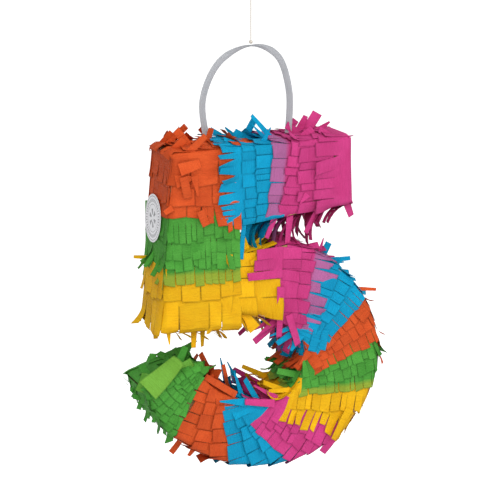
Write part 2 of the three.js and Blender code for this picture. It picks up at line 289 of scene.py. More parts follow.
strip = bmesh.new()
strip_uv = strip.loops.layers.uv.new("UVMap")
bmesh.ops.create_grid(strip, x_segments=8, y_segments=120, size=0.5)
for face in strip.faces:
    for corner in face.loops:
        corner[strip_uv].uv = (corner.vert.co.x * ribbon_width, corner.vert.co.y * 0.29)
for vert in strip.verts:
    across, share = vert.co.x, vert.co.y + 0.5
    place, run = along(arch, share)
    gather = min(1, abs(share - 0.5) / 0.09) ** 0.8
    width = ribbon_pinch + (ribbon_width - ribbon_pinch) * gather
    turn = (0.9 * (1 - gather)
            + 1.1 * max(0, share - 0.55) * math.sin(math.pi * min(1, (share - 0.5) * 2.2)) * 2)
    side = Quaternion(run, turn) @ Vector((run.z, 0, -run.x))
    crown = side.cross(run) * (0.0009 * math.cos(math.pi * across)
                               + 0.0010 * (1 - gather) * math.cos(5 * math.pi * across))
    vert.co = place + side * across * width + crown * 0.6
satin = Finish("silver_satin", Roughness=0.38, Metallic=0.0)
weave_uv = satin.node("UVMap", uv_map="UVMap")
warp = satin.node("TexWave", {"Vector": weave_uv, "Scale": 1400.0, "Distortion": 0.4}, output=1)
weft = satin.node("TexWave", {"Vector": weave_uv, "Scale": 900.0, "Distortion": 1.2}, output=1,
                   bands_direction="Y")
streaks = satin.noise(satin.node("VectorMath", {0: weave_uv, 1: (900, 25, 1)}, operation="MULTIPLY"), 1.0)
satin.put("Base Color", satin.mix(streaks * 0.7 + warp * 0.3, rgb(132, 134, 138), rgb(184, 186, 191)))
satin.put("Roughness", 0.3 + streaks * 0.25)
satin.bump(warp + weft * 0.5, 0.00006)
ribbon = finish_mesh("satin_ribbon", strip, satin.material, 0.0003)
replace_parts(ribbon, "ribbon_loop")
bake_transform(ribbon)
[tuple(along(arch, i / 60)[0]) for i in range(61)]
for name in ("ribbon_tail_left", "ribbon_tail_right"):
    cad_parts[name].data.materials.clear()
    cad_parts[name].data.materials.append(satin.material)

# ---- The cardboard box ----
# Two flat panels and nine strips of corrugated kraft card, taped together into a hollow
# digit. The flutes show as faint ribs, and on the cut edges as darker lines.
card = Finish("kraft_card", Roughness=0.88)
spot = card.node("TexCoord", output=3)
flutes = card.node("TexWave", {"Vector": spot, "Scale": 38.0, "Distortion": 0.3}, output=1)
pulp = card.noise(spot, 900.0, 4.0, 0.65)
flecks = card.noise(spot, 2600.0, 2.0) > 0.68
kraft = card.mix(pulp * 0.7 + flutes * 0.2, rgb(150, 112, 70), rgb(196, 156, 108))
card.put("Base Color", card.mix(flecks * 0.4, kraft, rgb(104, 74, 44)))
card.bump(flutes * 0.6 + pulp * 0.4, 0.0003)
for name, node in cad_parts.items():
    if name.endswith("_wall") or name.endswith("_panel") or name == "fill_flap":
        node.data.materials.clear()
        node.data.materials.append(card.material)

# ---- Pink fringe on the bar ----
# Strips of tissue paper with one edge cut into fingers, glued round the box row by row
# with the fingers towards the next colour. Every colour is one such band of rows.
half_depth, widest, rounding = 0.0345, 0.0483, 0.012
bowl_middle, eye_middle = Vector((0, -0.41717)), Vector((-0.010, -0.42117))


def round_edge(centre, long, short, power, degrees):
    """A point on a tilted round edge, given in x and z."""
    turn, angle = math.radians(-22), math.radians(degrees)
    x, z = (size * math.copysign(abs(v) ** (2 / power), v)
            for size, v in ((long, math.cos(angle)), (short, math.sin(angle))))
    return centre + Vector((x * math.cos(turn) - z * math.sin(turn), x * math.sin(turn) + z * math.cos(turn)))


outline = [Vector(p) for p in (
    (-0.104, -0.18145), (0.106, -0.17445), (0.108, -0.25045), (-0.029, -0.26545), (-0.029, -0.29945))]
outline += [round_edge(bowl_middle, 0.146, 0.1285, 2, 96.7 - 241.1 * i / 48) for i in range(49)]
outline += [round_edge(eye_middle, 0.063, 0.0495, 2.7, -156.2 + 317.8 * i / 48) for i in range(49)]
outline += [Vector((-0.118, -0.37617))]
sides = list(zip(outline, outline[1:] + outline[:1]))
left_side, foot_side, tail_end = sides[-1], sides[-2], sides[53]


def meet(start, way):
    """Where a line from start first meets the outline: the side's number and the share along it."""
    best = None
    for k, (a, b) in enumerate(sides):
        run = b - a
        cross = way.x * run.y - way.y * run.x
        if abs(cross) < 1e-12:
            continue
        gap = a - start
        reach = (gap.x * run.y - gap.y * run.x) / cross
        share = (gap.x * way.y - gap.y * way.x) / cross
        if reach > 0 and -1e-9 <= share <= 1 + 1e-9 and (best is None or reach < best[0]):
            best = (reach, k, share)
    return best


def nearest(spot):
    """The nearest place on the outline, the side's number and the share along it."""
    found = []
    for k, (a, b) in enumerate(sides):
        share = min(max((spot - a).dot(b - a) / (b - a).length_squared, 0), 1)
        found.append(((a.lerp(b, share) - spot).length, k, share))
    _, k, share = min(found)
    return sides[k][0].lerp(sides[k][1], share), k, share


def tucked(spot, y, edges):
    """A place on the front or back. Paper past one of these straight edges folds over it."""
    for a, b in edges:
        run = (b - a).normalized()
        out = Vector((-run.y, run.x))
        past = (spot - a).dot(out)
        if past > 0:
            lean = min(1, past / 0.004)
            normal = Vector((0, y, 0)).lerp(Vector((out.x, 0, out.y)), lean).normalized()
            return Vector((spot.x - out.x * past, y * (half_depth - past), spot.y - out.y * past)), normal
    return Vector((spot.x, y * half_depth, spot.y)), Vector((0, y, 0))


def wall_way(k, share, toward):
    """Follows the outline from one place towards a direction. It gives the place and the
    outward direction at any distance, and goes straight on where the outline turns sharply."""
    step = 1 if (sides[k][1] - sides[k][0]).dot(toward) > 0 else -1
    a, b = sides[k]
    points, outs, lengths = [a.lerp(b, share)], [], [0.0]
    j, total = k, 0.0
    while total < 0.09:
        a, b = sides[j % len(sides)]
        end = b if step > 0 else a
        run = (b - a).normalized()
        reach = (end - points[-1]).length
        total += reach
        points.append(end)
        outs.append(Vector((-run.y, run.x)))
        lengths.append(total)
        c, d = sides[(j + step) % len(sides)]
        turn = (d - c).normalized().dot(run)
        if turn < 0.75:
            points.append(end + run * step * 0.1)
            outs.append(outs[-1])
            lengths.append(total + 0.1)
            break
        j += step

    def at(distance):
        for i in range(len(points) - 1):
            if distance <= lengths[i + 1] or i == len(points) - 2:
                reach = max(lengths[i + 1] - lengths[i], 1e-9)
                return points[i].lerp(points[i + 1], (distance - lengths[i]) / reach), outs[i]

    return at


class Fringe:
    """One band of fringe: its rows are laid into one mesh, and each finger gets its own
    length, slant, lift and shade."""

    def __init__(self, seed):
        self.chance = random.Random(seed)
        self.shape = bmesh.new()
        self.uv = self.shape.loops.layers.uv.new("UVMap")
        self.tone = self.shape.verts.layers.float_color.new("tone")
        self.area = self.paper = 0.0

    def strays(self, leaves, both=True):
        """Loose fingers. Each has a root, the x and z of its tip, and a width, and those near
        the front have a fellow on the back."""
        for root, tip, width in leaves:
            for side in ((1, -1) if both and root[1] < -0.015 else (1,)):
                way = Vector((tip[0] - root[0], side * self.chance.uniform(-0.003, 0.002), tip[1] - root[2]))
                if abs(root[1]) < 0.034:
                    spot = nearest(Vector((root[0], root[2])))[0]
                    root = (spot.x, root[1], spot.y)
                bend = self.chance.uniform(-1, 1) * min(0.6, 0.006 / way.length)
                self.leaf((root[0], side * root[1], root[2]), way, (0, -side, 0.25), way.length, width, bend,
                          self.chance.uniform(-0.6, 0.6), self.chance.uniform(0.86, 1.06),
                          self.chance.choice((0.0, 0.1, 0.3, 0.8)))

    def comb(self, place, width, length, finger=0.010, stray=0.05, droop=0.0, lap=0.0, uncut=1, lift=0.0022,
             base=0.0005, bulge=0.0, jag=0.04, gap=0.0004, curl=0.009, rims=(1, 1), puff=0.0022):
        """One strip of fringe. place(t, d) gives the spot, outward direction and finger
        direction at t along the strip and d down the fingers."""
        chance, levels, solid = self.chance, max(6, round(length / 0.005)), uncut / 6
        count = max(2, round(width / finger))
        cuts = [0.0]
        for _ in range(count):
            cuts.append(cuts[-1] + chance.uniform(0.6, 1.6))
        cuts = [c / cuts[-1] * width for c in cuts]
        parts = max(2, round(width / count / 0.0045))
        made = bmesh.ops.create_grid(
            self.shape, x_segments=parts * count, y_segments=levels, size=0.5)["verts"]
        edges = {e for v in made for e in v.link_edges}

        def column(v):
            return (v.co.x + 0.5) * count

        slits = [e for e in edges if all(abs(column(v) - round(column(v))) < 1e-4
                                         and 0.5 < column(v) < count - 0.5
                                         and v.co.y + 0.5 > solid - 1e-4 for v in e.verts)]
        self.shape.verts.index_update()
        bmesh.ops.split_edges(self.shape, edges=slits)
        faces = {f for v in made if v.is_valid for f in v.link_faces}
        grow = True
        while grow:
            more = {f for g in faces for e in g.edges for f in e.link_faces} - faces
            grow = bool(more)
            faces |= more
        fingers = []
        for _ in range(count):
            wild = chance.random() < stray
            fingers.append({
                "long": 1 + chance.uniform(-jag, jag) - (chance.random() < 0.12) * 2 * jag,
                "cut": chance.uniform(-0.08, 0.08),
                "slant": chance.gauss(0, 0.02) + wild * chance.uniform(-0.25, 0.25),
                "lift": abs(chance.gauss(0, 0.22 * lift)) + wild * chance.uniform(0.3, 1) * curl,
                "roll": chance.gauss(0, 0.06) + wild * chance.uniform(-0.6, 0.6),
                "hang": droop * chance.uniform(0.3, 1), "tone": chance.uniform(0.86, 1.07) - wild * 0.04,
                "tip": chance.uniform(0, 0.0012),
                "start": chance.uniform(0.35, 0.6)})
        shift = (chance.uniform(0, 3), chance.uniform(0, 3))
        where = {}
        for f in faces:
            k = int(column_of(f) * count)
            for v in f.verts:
                where.setdefault(v, set()).add(k)
        flat = {}
        for v, ks in where.items():
            s, u = v.co.x + 0.5, v.co.y + 0.5
            k = min(ks)
            loose = len(ks) == 1 and u > solid + 1e-3
            f = fingers[k]
            c = s * count
            whole = min(int(c + 1e-3), count - 1)
            t = cuts[whole] + (cuts[whole + 1] - cuts[whole]) * (c - whole)
            middle = (cuts[k] + cuts[k + 1]) / 2
            d, out, skew = u * length, base + lift * u, 0.0
            free = max(0.0, (u - f["start"]) / (1 - f["start"]))
            if loose:
                far = (u - solid) / (1 - solid)
                side = (t - middle) / max(cuts[k + 1] - cuts[k], 1e-6)
                if abs(t - middle) > 1e-6:
                    t -= math.copysign(min(gap, abs(t - middle)) * far, t - middle)
                t += f["slant"] * far * length * 0.5
                d *= f["long"] + f["cut"] * side * far
                out += (f["lift"] * free ** 2 + f["tip"] * max(0.0, 5 * u - 4)
                        + side * f["roll"] * free * (cuts[k + 1] - cuts[k]))
                skew = f["hang"] * far
            fall = 0.0
            if skew:
                hinge = solid * length
                _, normal = place(t, hinge)
                turn = skew * max(0.0, 0.35 - normal.z)
                fall = (d - hinge) * math.sin(turn)
                d = hinge + (d - hinge) * math.cos(turn)
            spot, normal = place(t, d)
            near = min([reach for reach, on in zip((t, width - t), rims) if on] + [rounding])
            out += puff * (1 - (1 - max(near, 0) / rounding) ** 2)
            out += bulge * math.sin(math.pi * min(max(t / width, 0), 1)) * math.sin(math.pi * min(u, 1))
            spot = spot + normal * max(out, 0.0004)
            spot.z -= fall
            spot.y = min(max(spot.y, -widest), widest)
            flat[v] = (t + shift[0], d + shift[1])
            # The fourth tone channel marks the sides of each loose finger, where the tissue shader paints a
            # thin line of shade, as it does at the tips.
            edge_shade_mark = abs(2 * (c - whole) - 1) if loose else 0.0
            lapped = 1.0 if lap and d > length - lap and u > 0.4 else 0.0
            v[self.tone] = (f["tone"] if loose else 0.98, lapped, u, edge_shade_mark)
            where[v] = spot
        for f in faces:
            for corner in f.loops:
                corner[self.uv].uv = flat[corner.vert]
        for v, spot in where.items():
            v.co = spot
        self.area += width * length
        self.paper += width

    def leaf(self, start, way, normal, length, width, bend=0.0, twist=0.0, tone=1.0, narrow=0.0,
             cup=0.0, pale=0.0):
        """A loose finger or folded leaf that stands off the band by itself."""
        made = bmesh.ops.create_grid(self.shape, x_segments=4, y_segments=8, size=0.5)["verts"]
        way, normal = Vector(way).normalized(), Vector(normal).normalized()
        side = way.cross(normal).normalized()
        line, here, turn = [], Vector(start), way.copy()
        for i in range(9):
            line.append((here.copy(), turn.copy()))
            here += turn * length / 8
            turn = Quaternion(side, bend / 8) @ turn
        shift = (self.chance.uniform(0, 3), self.chance.uniform(0, 3))
        spots = {}
        for v in made:
            s, u = v.co.x, v.co.y + 0.5
            here, turn = line[round(u * 8)]
            across = Quaternion(turn, twist * u) @ side
            up = across.cross(turn)
            spots[v] = here + across * s * width * (1 - narrow * u) + up * cup * width * (4 * s * s - 1) * u
            # The tone darkens slightly towards the leaf's sides, and the fourth channel marks its edges for
            # the tissue shader's painted line of shade.
            v[self.tone] = (tone * (1 - 0.06 * abs(s)), pale, u, 2 * abs(s))
        for f in {f for v in made for f in v.link_faces}:
            for corner in f.loops:
                corner[self.uv].uv = (corner.vert.co.x * width + shift[0],
                                      corner.vert.co.y * length + shift[1])
        for v, spot in spots.items():
            spot.y = min(max(spot.y, -widest), widest)
            v.co = spot
        self.area += width * length * (1 - narrow / 2)

    def bristle(self, first, last, count):
        """Loose fingers that stand up from the bowl's outer edge between two angles."""
        for i in range(count):
            angle = first + (last - first) * (i + self.chance.random()) / count
            root, ahead = (round_edge(bowl_middle, 0.146, 0.1285, 2, angle - turn) for turn in (0, 3))
            way = (ahead - root).normalized()
            heading = way + Vector((-way.y, way.x)) * self.chance.uniform(0.3, 0.9)
            spot = root + Vector((-way.y, way.x)) * 0.001
            self.leaf((spot.x, self.chance.uniform(-0.034, 0.034), spot.y),
                      (heading.x, self.chance.uniform(-0.3, 0.3), heading.y),
                      (-way.y, -0.3, way.x), self.chance.uniform(0.012, 0.022), 0.0085,
                      self.chance.uniform(-0.7, 0.2), self.chance.uniform(-0.5, 0.5),
                      self.chance.uniform(0.85, 1.06), self.chance.choice((0.0, 0.2, 0.8)))

    def wall(self, start, toward, length, flip=1, **comb):
        """A strip across one of the box's narrow sides, from a place on the outline."""
        start = Vector(start)
        found = []
        for k, (a, b) in enumerate(sides):
            share = min(max((start - a).dot(b - a) / (b - a).length_squared, 0), 1)
            ahead = (b - a).normalized().dot(Vector(toward))
            found.append(((a.lerp(b, share) - start).length - 1e-6 * ahead, k, share))
        _, k, share = min(found)
        at, reach = wall_way(k, share, Vector(toward)), half_depth + 0.0008

        def place(t, d):
            spot, out = at(d)
            return Vector((spot.x, flip * (reach - t), spot.y)), Vector((out.x, 0, out.y))

        self.comb(place, 2 * reach, length, **comb)

    def row(self, tips, toward, length, faces="front outer back inner", outer=None, inner=None, stop=None,
            over=(0.0012, 0.0012), wrap=False, edges=(), reach=None, **comb):
        """A whole row round the box. Its tips end on the line through two places, given
        outer end first, and its fingers lie square to that line. A stop ends it early."""
        a, b = (Vector(p) for p in tips)
        across = (b - a).normalized()
        way = Vector((-across.y, across.x))
        if way.dot(Vector(toward)) < 0:
            way = -way
        middle = (a + b) / 2 - way * (reach or length)
        ends, reached = [], []
        for i, heading in enumerate((-across, across)):
            if stop and i in stop:
                ends.append(middle + across * (Vector(stop[i]) - middle).dot(across))
                reached.append(None)
            else:
                _, k, share = meet(middle, heading)
                ends.append(sides[k][0].lerp(sides[k][1], share))
                reached.append(ends[-1])
        ends = [ends[0] - across * over[0], ends[1] + across * over[1]]
        for face, y in (("front", -1), ("back", 1)):
            if face in faces:
                start, run = (ends[0], across) if y < 0 else (ends[1], -across)

                def place(t, d, y=y, start=start, run=run):
                    spot = start + run * t + way * (d - length + (reach or length))
                    return folded(spot, y) if wrap else tucked(spot, y, edges)

                rims = (reached[0] is not None, reached[1] is not None)
                self.comb(place, (ends[1] - ends[0]).length, length,
                          rims=rims if y < 0 else rims[::-1], **comb)
        for face, spot, extra, flip in (("outer", reached[0], outer, 1), ("inner", reached[1], inner, -1)):
            if face in faces and spot is not None:
                self.wall(spot, way, reach or length, flip, **{**comb, **(extra or {})})

    def done(self, name, finish, thickness=0.00014):
        piece = finish_mesh(name, self.shape, finish.material, thickness)
        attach(piece, "shell")
        name.split("_")[0] + "_tissue"
        long = max(self.paper, 0.05)
        self.area / long
        return piece


def folded(spot, y):
    """A place on the front or back of the bowl. Paper that reaches past the bowl's edge, or
    into the eye, folds over the edge on to the narrow side."""
    turn = Matrix.Rotation(math.radians(22), 2)
    off = spot - bowl_middle
    q = turn @ off
    ring = math.hypot(q.x / 0.146, q.y / 0.1285)
    if ring > 1:
        past, at, out = (ring - 1) / ring * off.length, bowl_middle + off / ring, off.normalized()
    else:
        off = spot - eye_middle
        q = turn @ off
        ring = max((abs(q.x / 0.063) ** 2.7 + abs(q.y / 0.0495) ** 2.7) ** (1 / 2.7), 0.35)
        if ring >= 1:
            return Vector((spot.x, y * half_depth, spot.y)), Vector((0, y, 0))
        past, at, out = (1 - ring) / ring * off.length, eye_middle + off / ring, -off.normalized()
    lean = min(1, past / 0.006)
    normal = (Vector((0, y, 0)) * (1 - lean) + Vector((out.x, 0, out.y)) * lean).normalized()
    return Vector((at.x, y * (half_depth - past), at.y)), normal


def column_of(face):
    return face.calc_center_median().x + 0.5


def tissue(name, colour, beneath, share, deep):
    """Tissue paper: thin, matt and slightly glazed, with fine crepe across the fingers, cloudy pulp, and the
    colour beneath showing through where one layer lies over it. A thin line of painted shade darkens the
    fingers' tips and cut sides."""
    paper = Finish(name, Roughness=0.62, Specular_IOR_Level=0.12)
    tone = paper.node("Attribute", attribute_name="tone", attribute_type="GEOMETRY")
    parts = paper.tree.nodes.new("ShaderNodeSeparateColor")
    paper.tree.links.new(tone.socket, parts.inputs[0])
    level, lap, down = (Wire(paper.tree, parts.outputs[i]) for i in range(3))
    # The tip end of the third tone channel and the fourth channel mark the fingers' cut edges, and cut lays a
    # thin line of painted shade there.
    side = paper.node("Attribute", output=3, attribute_name="tone", attribute_type="GEOMETRY")
    cut = (down > 0.975).math("MAXIMUM", side > 0.93)
    flat = paper.node("UVMap", uv_map="UVMap")
    crepe = paper.noise(paper.node("VectorMath", {0: flat, 1: (60, 620, 1)}, operation="MULTIPLY"),
                        1.0, 3.0, 0.6)
    creases = paper.noise(paper.node("VectorMath", {0: flat, 1: (35, 90, 1)}, operation="MULTIPLY"), 1.0, 2.0)
    pulp = paper.noise(flat, 700.0, 3.0, 0.7)
    clouds = paper.noise(flat, 45.0, 2.0)
    plain = paper.mix(paper.ramp(clouds * 0.55 + pulp * 0.45, [(0.3, 0.0), (0.72, 1.0)]),
                      rgb(*deep), rgb(*colour))
    seen = paper.mix(lap * share, plain, rgb(*beneath))
    # Per-finger tone and crepe, with the painted shade line along the cut edges.
    paper.put("Base Color", paper.shade(seen, level * (0.93 + crepe * 0.14) * (1.0 - cut * 0.26)))
    paper.put("Roughness", 0.55 + pulp * 0.3)
    paper.bump(crepe * 0.6 + creases * 1.0 + pulp * 0.10, 0.0022, 0.9)
    return paper


pink, blue, orange = (204, 65, 133), (0, 155, 196), (213, 88, 38)
green, yellow = (84, 162, 64), (237, 187, 20)
pink_deep, blue_deep, orange_deep = (184, 48, 112), (0, 136, 180), (190, 68, 26)
green_deep, yellow_deep = (58, 134, 44), (220, 158, 4)

bar_pink = Fringe(1)
left_way = (-1, 0)


def bar_line(x, slope=0.0):
    return (x + slope, -0.178), (x - slope, -0.257)


under_bar = dict(droop=1.15, stray=0.35, jag=0.2, finger=0.009, curl=0.006)
on_bar = dict(inner=under_bar, over=(0.005, 0.004), edges=(sides[0], sides[2], sides[1]))
bar_pink.row(bar_line(0.061), left_way, 0.050, finger=0.012, stray=0.03, uncut=2, reach=0.030, **on_bar)
bar_pink.wall((0.105, -0.1745), left_way, 0.030, finger=0.012)
bar_pink.wall((0.107, -0.2504), left_way, 0.030, -1, **{**under_bar, "droop": 0.5})
bar_pink.row(bar_line(0.041), left_way, 0.044, finger=0.012, **on_bar)
bar_pink.row(bar_line(0.024, 0.006), left_way, 0.040, finger=0.012, **on_bar)
bar_pink.row(bar_line(0.007, 0.004), left_way, 0.036, finger=0.014, lap=0.016, stray=0.0, jag=0.01, **on_bar)
bar_pink.strays([
    ((0.060, 0.010, -0.172), (0.070, -0.151), 0.0105), ((0.072, 0.015, -0.172), (0.088, -0.150), 0.0117),
    ((0.062, 0.000, -0.170), (0.042, -0.156), 0.0094), ((0.080, 0.005, -0.172), (0.097, -0.159), 0.0105),
    ((0.050, -0.020, -0.174), (0.066, -0.162), 0.0090), ((0.088, -0.022, -0.173), (0.074, -0.164), 0.0090),
    ((0.105, -0.030, -0.252), (0.111, -0.268), 0.0094), ((0.016, -0.033, -0.262), (0.005, -0.284), 0.0070),
    ((0.034, -0.033, -0.258), (0.031, -0.291), 0.0082), ((0.070, -0.030, -0.254), (0.054, -0.281), 0.0070),
    ((0.048, -0.010, -0.256), (0.040, -0.286), 0.0080), ((0.060, 0.005, -0.255), (0.052, -0.283), 0.0080),
    ((0.084, -0.015, -0.253), (0.074, -0.276), 0.0080), ((0.022, 0.000, -0.260), (0.012, -0.288), 0.0080),
    ((0.052, -0.041, -0.235), (0.043, -0.245), 0.0082)])
pink_over_blue = tissue("pink_over_blue", pink, blue, 0.27, pink_deep)
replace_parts(bar_pink.done("pink_bar_fringe", pink_over_blue), "pink_bar_band")

# ---- Blue fringe on the bar ----
# Three rows; the last one's square-cut fingers stand apart over the orange.
bar_blue = Fringe(2)
bar_blue.row(bar_line(-0.010), left_way, 0.036, finger=0.011, **on_bar)
bar_blue.row(bar_line(-0.026), left_way, 0.034, finger=0.011, **on_bar)
bar_blue.row(bar_line(-0.053), left_way, 0.044, finger=0.0092, gap=0.0013, stray=0.1, jag=0.08,
             uncut=3, lap=0.028, base=0.0012, lift=0.0040, faces="front outer", over=(0.005, 0.001),
             edges=(sides[0],))
bar_blue.row(((-0.053, -0.178), (-0.053, -0.2535)), left_way, 0.044, finger=0.0092, gap=0.0013,
             jag=0.08, uncut=3, faces="back", stop={1: (-0.053, -0.2535)}, lift=0.0022, stray=0.0,
             puff=0.001, over=(0.005, 0.0), edges=(sides[0],))
bar_blue.strays([
    ((0.025, 0.000, -0.172), (0.001, -0.144), 0.0070), ((0.016, -0.012, -0.173), (-0.006, -0.152), 0.0070),
    ((-0.021, -0.020, -0.175), (-0.041, -0.166), 0.0070), ((-0.001, 0.000, -0.174), (-0.021, -0.162), 0.0094),
    ((0.003, -0.025, -0.174), (0.014, -0.156), 0.0082), ((-0.010, 0.015, -0.175), (-0.026, -0.160), 0.0080),
    ((-0.022, -0.036, -0.262), (-0.027, -0.303), 0.0058),
    ((-0.008, -0.020, -0.262), (-0.014, -0.290), 0.0070)])
blue_over_orange = tissue("blue_over_orange", blue, orange, 0.0, blue_deep)
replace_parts(bar_blue.done("blue_bar_fringe", blue_over_orange), "blue_bar_band")

# ---- Orange fringe on the corner ----
# Wide, hardly cut sheets that bulge over the corner, with a ragged lower edge.
corner = Fringe(3)
down = (0, -1)


def stem_line(z, slope=0.0):
    return (-0.112, z + slope), (-0.032, z - slope)


def corner_row(z, length, right=-0.026, **comb):
    """A row on the corner block, from the left wall to where the blue begins."""
    top = z + length

    def left(height):
        return -0.108 + (height + 0.18145) * 0.0719

    width = right - left(top)

    def front(t, d, y=-1):
        start = left(top - d)
        return tucked(Vector((start + (right - start) * t / width, top - d)), y, (sides[0], left_side))

    corner.comb(front, width, length, **comb)
    corner.comb(lambda t, d: front(width - t, d, 1), width, length,
                **{**comb, "bulge": 0, "stray": 0.0, "puff": 0.0008})
    corner.wall((left(top) + 0.003, min(top, -0.182)), down, min(length, -0.182 - z), **{**comb, **quiet})


quiet = dict(finger=0.013, jag=0.08, bulge=0, lift=0.0010, stray=0.0, puff=0.0)
corner_row(-0.216, 0.0395, finger=0.024, bulge=0.0006)
corner_row(-0.238, 0.040, finger=0.022, bulge=0.0004)
corner_row(-0.252, 0.036, finger=0.017, jag=0.08, stray=0.1)
corner.comb(lambda t, d: (Vector((-0.067 + t, -half_depth, -0.228 - d)), Vector((0, -1, 0))), 0.040, 0.038,
            finger=0.0075, base=0.0020, lift=0.0016, jag=0.12, stray=0.15, rims=(0, 0))
corner_x = -0.1045
for x in (-0.112, -0.092, -0.074, -0.056, -0.036):
    def on_top(t, d, x=x):
        spot = max(x + 0.030 - d, corner_x)
        past = max(0.0, corner_x - x - 0.030 + d)
        return (Vector((spot, t - half_depth, -0.1803 + (spot + 0.1) * 0.0333 - past)),
                Vector((-1, 0, 0.5)).normalized() if past > 0 else Vector((0, 0, 1)))

    corner.comb(on_top, 2 * half_depth, 0.030, finger=0.012, stray=0.3, curl=0.014)
corner.strays([
    ((-0.086, -0.033, -0.180), (-0.065, -0.162), 0.0094),
    ((-0.074, -0.010, -0.180), (-0.092, -0.158), 0.0105),
    ((-0.054, -0.004, -0.178), (-0.050, -0.157), 0.0070),
    ((-0.100, -0.020, -0.181), (-0.086, -0.166), 0.0100),
    ((-0.062, -0.026, -0.179), (-0.078, -0.170), 0.0090),
    ((-0.096, 0.012, -0.181), (-0.080, -0.163), 0.0100)])
corner.strays([
    ((-0.104, -0.043, -0.209), (-0.083, -0.206), 0.0152),
    ((-0.096, -0.046, -0.204), (-0.091, -0.228), 0.0100),
    ((-0.083, -0.045, -0.204), (-0.080, -0.226), 0.0090),
    ((-0.107, -0.0405, -0.238), (-0.117, -0.243), 0.0075),
    ((-0.100, -0.045, -0.196), (-0.076, -0.190), 0.0140),
    ((-0.076, -0.044, -0.243), (-0.070, -0.260), 0.0105)],
    both=False)
orange_over_green = tissue("orange_over_green", orange, green, 0.08, orange_deep)
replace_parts(corner.done("orange_corner_fringe", orange_over_green), "orange_corner_band")

# ---- Green fringe on the stem ----
# Four rows of narrow fingers; the last lies over the yellow, which shows through it.
# On the back the rows leave out the fill flap.
stem = Fringe(4)
for z, length, lap in ((-0.278, 0.034, 0), (-0.297, 0.034, 0), (-0.310, 0.030, 0), (-0.327, 0.032, 0.014)):
    stem.row(stem_line(z), down, length, finger=0.0088, lap=lap, gap=0.0005, jag=0.06,
             faces="front outer", stop={1: (-0.029, z)}, stray=0.04, base=0.0005 if z > -0.3 else 0.0016,
             outer=dict(jag=0.15, stray=0.0 if z > -0.3 else 0.2, lift=0.0010, puff=0.0),
             over=(0.004, 0.001), edges=(left_side,))
    for left, right in ((-0.0935, -0.1135), (-0.029, -0.0365)):
        stem.comb(lambda t, d, left=left, top=z + length: (Vector((left - t, half_depth, top - d)),
                                                           Vector((0, 1, 0))),
                  abs(left - right), length, finger=0.0088, lap=lap)
for z, length in ((-0.266, 0.020), (-0.278, 0.022)):
    stem.wall((-0.029, z), down, length, -1, finger=0.009, stray=0.2)
flap_left, flap_right, flap_top, flap_foot = -0.092, -0.038, -0.26245, -0.30845
stem.comb(lambda t, d: (Vector((flap_right + 0.001 - t, half_depth, -0.240 - d)), Vector((0, 1, 0))),
          0.056, 0.0195, finger=0.009, lift=0.0008, stray=0.0, puff=0.0)
stem.comb(lambda t, d: (Vector((flap_right + 0.001 - t, half_depth, flap_foot - 0.001 - d)),
                        Vector((0, 1, 0))), 0.056, 0.018, finger=0.009, lap=0.012)
stem.strays([
    ((-0.030, -0.038, -0.294), (-0.023, -0.308), 0.0070),
    ((-0.117, -0.018, -0.300), (-0.128, -0.318), 0.0060),
    ((-0.117, 0.004, -0.296), (-0.130, -0.312), 0.0060), ((-0.118, 0.016, -0.304), (-0.131, -0.309), 0.0050)])
green_over_yellow = tissue("green_over_yellow", green, yellow, 0.24, green_deep)
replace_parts(stem.done("green_stem_fringe", green_over_yellow), "green_stem_band")

# ---- Yellow fringe on the foot ----
# Broad sheets with few cuts that wrap under the stem's foot and turn towards the belly.
foot = Fringe(5)
hanging = dict(droop=0.35, stray=0.12, jag=0.15, finger=0.012)
for z, length, reach in ((-0.345, 0.038, 0.038), (-0.384, 0.048, 0.044)):
    foot.row(((-0.115, z), (-0.030, z)), down, length, finger=0.026, faces="front outer back",
             bulge=0.001, reach=reach, stop={1: (-0.027, z)}, over=(0.005, 0.001),
             edges=(foot_side, left_side), outer=dict(finger=0.012))
right_way = (1, 0)
for x, length in ((-0.037, 0.030), (-0.008, 0.036), (0.020, 0.036)):
    foot.row(((x, -0.372), (x, -0.302)), right_way, length, finger=0.021, outer=hanging,
             stop={1: (x, -0.297)}, wrap=True, over=(0.008, 0.001))
for x, length in ((-0.0285, 0.030), (-0.010, 0.030)):
    foot.wall((x, -0.2994), right_way, length, -1, finger=0.011, stray=0.2)
for x in (-0.1175, -0.100, -0.080):
    foot.wall((x, -0.3768), right_way, 0.034, finger=0.012, droop=0.25, stray=0.1, jag=0.12)
foot.strays([
    ((-0.014, -0.028, -0.300), (-0.022, -0.278), 0.0070), ((-0.013, -0.022, -0.300), (0.008, -0.284), 0.0058),
    ((-0.118, 0.020, -0.306), (-0.137, -0.304), 0.0045), ((-0.112, 0.010, -0.377), (-0.112, -0.399), 0.0058),
    ((-0.108, -0.024, -0.377), (-0.107, -0.397), 0.0070),
    ((-0.076, -0.020, -0.379), (-0.078, -0.405), 0.0085),
    ((-0.062, -0.010, -0.380), (-0.063, -0.409), 0.0075), ((-0.050, 0.014, -0.380), (-0.052, -0.402), 0.0080),
    ((-0.025, -0.030, -0.370), (-0.007, -0.392), 0.0140),
    ((-0.003, -0.041, -0.301), (-0.017, -0.308), 0.0070)],
    both=False)
yellow_over_pink = tissue("yellow_paper", yellow, pink, 0.0, yellow_deep)
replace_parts(foot.done("yellow_foot_fringe", yellow_over_pink), "yellow_foot_band")

